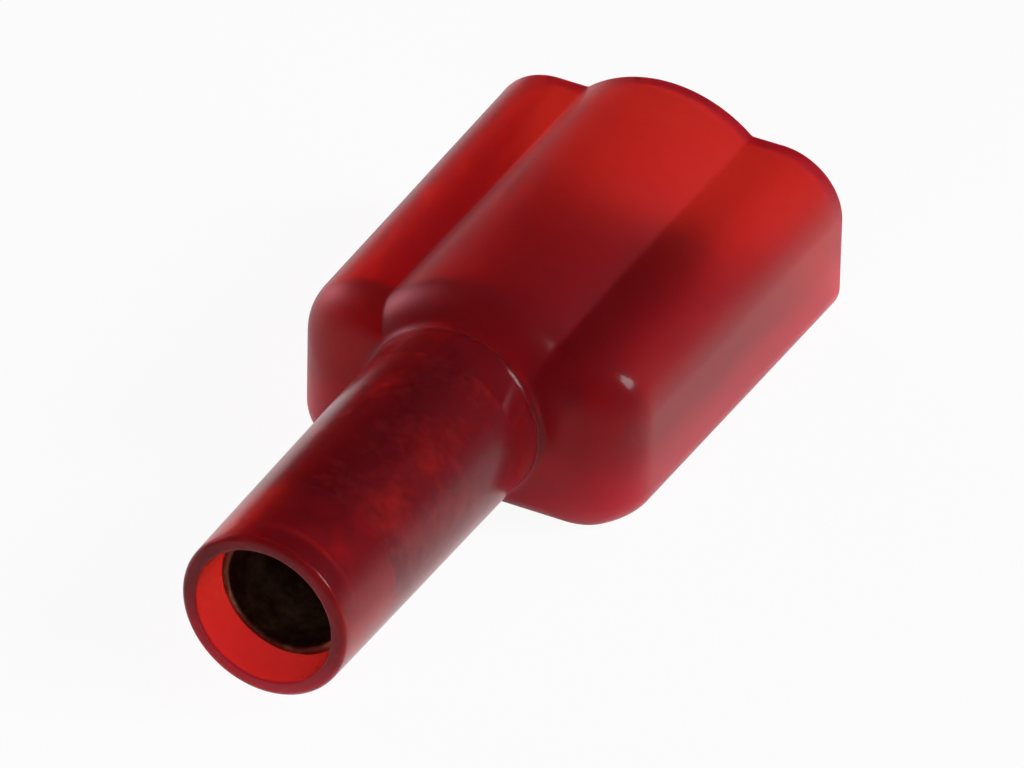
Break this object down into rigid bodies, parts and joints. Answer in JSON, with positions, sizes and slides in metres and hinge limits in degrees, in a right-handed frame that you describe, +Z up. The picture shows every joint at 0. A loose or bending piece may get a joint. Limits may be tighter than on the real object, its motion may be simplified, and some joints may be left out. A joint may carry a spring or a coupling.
{
  "type": "male spade terminal",
  "caption": "Fully insulated male spade terminal: a nylon wire tube and a domed open shroud round a flat tab, with a sleeve and barrel to crimp onto a wire.",
  "frame": {"origin": "centre of the bounding box's underside, on the table that the flat underside lies on", "axes": "+X along the wire axis from the wire mouth to the mating end, +Z up out of the flat underside towards the dome"},
  "size_m": [0.0256, 0.0116, 0.0066],
  "materials": {
    "red_nylon": "translucent red nylon, satin",
    "plated_sleeve": "dull tin plating",
    "plated_brass": "bright tin plating"
  },
  "bodies": {
    "root": {"housing": "red_nylon", "grip_sleeve": "plated_sleeve", "tab_terminal": "plated_brass"}
  },
  "joints": []
}
